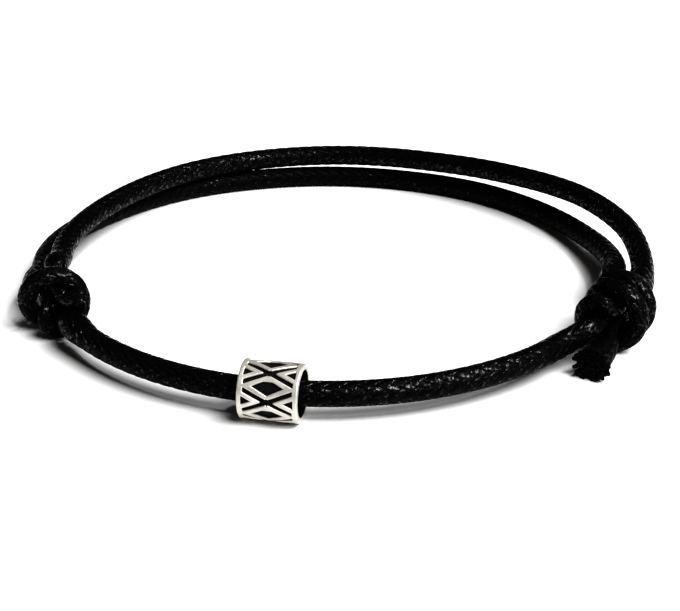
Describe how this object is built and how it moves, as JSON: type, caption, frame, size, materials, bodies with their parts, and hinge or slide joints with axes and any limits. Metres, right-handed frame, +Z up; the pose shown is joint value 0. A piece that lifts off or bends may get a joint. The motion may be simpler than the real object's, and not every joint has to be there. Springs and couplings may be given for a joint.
{
  "type": "cord bracelet",
  "caption": "Round braided cord bracelet closed by sliding knots, with a patterned silver tube bead on its front stretch.",
  "frame": {"origin": "on the table under the middle of the bracelet's outline", "axes": "+Z up from the table the bracelet lies on, -Y towards the bead at the front, +X to the wearer's right of the bead as seen from the front"},
  "size_m": [0.0564, 0.055, 0.006],
  "materials": {
    "waxed_cord": "gloss wax on black braid",
    "silver": "polished, with dark oxide in the recesses"
  },
  "bodies": {
    "cord": {"cord": "waxed_cord"},
    "bead": {"bead": "silver"}
  },
  "joints": [
    {"name": "bead_travel", "type": "hinge", "parent": "cord", "child": "bead", "pos_m": [-0.00082, -0.00001, 0.00232], "axis": [0, 0, 1], "range_deg": [-40, 48]}
  ]
}
